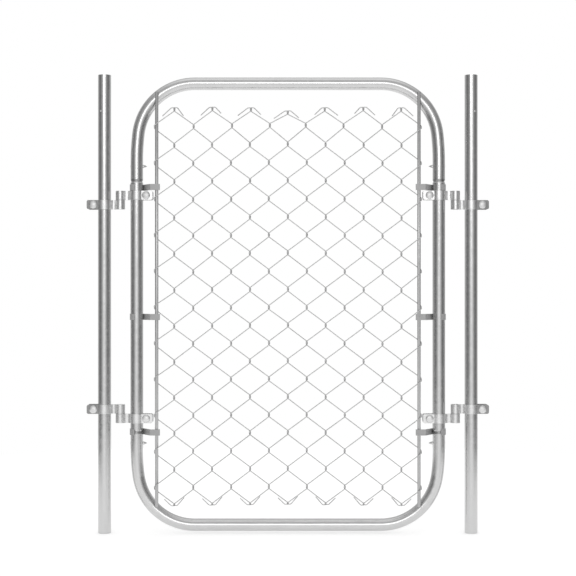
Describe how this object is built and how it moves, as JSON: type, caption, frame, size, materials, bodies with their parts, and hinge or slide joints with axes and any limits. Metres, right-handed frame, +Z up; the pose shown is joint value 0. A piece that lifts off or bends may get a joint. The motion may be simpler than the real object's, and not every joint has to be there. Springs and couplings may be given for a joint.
{
  "type": "chain link gate",
  "caption": "Galvanised chain link walk gate with rounded frame corners, tension bars and strap clamps, hung on pins between its two tube posts.",
  "frame": {"origin": "centre of the hinge post's foot, on the ground", "axes": "+X from the hinge post to the keeper post, +Y to the back of the gate (the mesh is on the front, -Y), +Z up"},
  "size_m": [1.0759, 0.0513, 1.2285],
  "materials": {
    "galvanised_tube": "galvanised, satin",
    "bright_zinc": "bright zinc plate",
    "dull_zinc_strip": "dull zinc, matt",
    "galvanised_bar": "galvanised, satin",
    "galvanised_wire": "galvanised wire"
  },
  "bodies": {
    "posts": {"hinge_post": "galvanised_tube", "keeper_post": "galvanised_tube", "upper_hinge_post_clamp": "bright_zinc", "upper_hinge_post_bolt": "bright_zinc", "upper_keeper_post_clamp": "bright_zinc", "upper_keeper_post_bolt": "bright_zinc", "lower_hinge_post_clamp": "bright_zinc", "lower_hinge_post_bolt": "bright_zinc", "lower_keeper_post_clamp": "bright_zinc", "lower_keeper_post_bolt": "bright_zinc", "upper_hinge_pin": "bright_zinc", "lower_hinge_pin": "bright_zinc"},
    "gate": {"hinge_stile": "galvanised_tube", "keeper_stile": "galvanised_tube", "top_bow": "galvanised_tube", "bottom_bow": "galvanised_tube", "upper_hinge_frame_clamp": "bright_zinc", "upper_hinge_frame_bolt": "bright_zinc", "upper_keeper_frame_clamp": "bright_zinc", "upper_keeper_frame_bolt": "bright_zinc", "lower_hinge_frame_clamp": "bright_zinc", "lower_hinge_frame_bolt": "bright_zinc", "lower_keeper_frame_clamp": "bright_zinc", "lower_keeper_frame_bolt": "bright_zinc", "hinge_tension_bar": "galvanised_bar", "lower_hinge_clip": "dull_zinc_strip", "middle_hinge_clip": "dull_zinc_strip", "upper_hinge_clip": "dull_zinc_strip", "upper_hinge_screw": "bright_zinc", "lower_hinge_screw": "bright_zinc", "keeper_tension_bar": "galvanised_bar", "lower_keeper_clip": "dull_zinc_strip", "middle_keeper_clip": "dull_zinc_strip", "upper_keeper_clip": "dull_zinc_strip", "upper_keeper_screw": "bright_zinc", "lower_keeper_screw": "bright_zinc", "chain_link_fabric": "galvanised_wire"}
  },
  "joints": [
    {"name": "gate_swing", "type": "hinge", "parent": "posts", "child": "gate", "pos_m": [0.0424, 0, 0], "axis": [0, 0, 1], "range_deg": [-110, 110]}
  ]
}
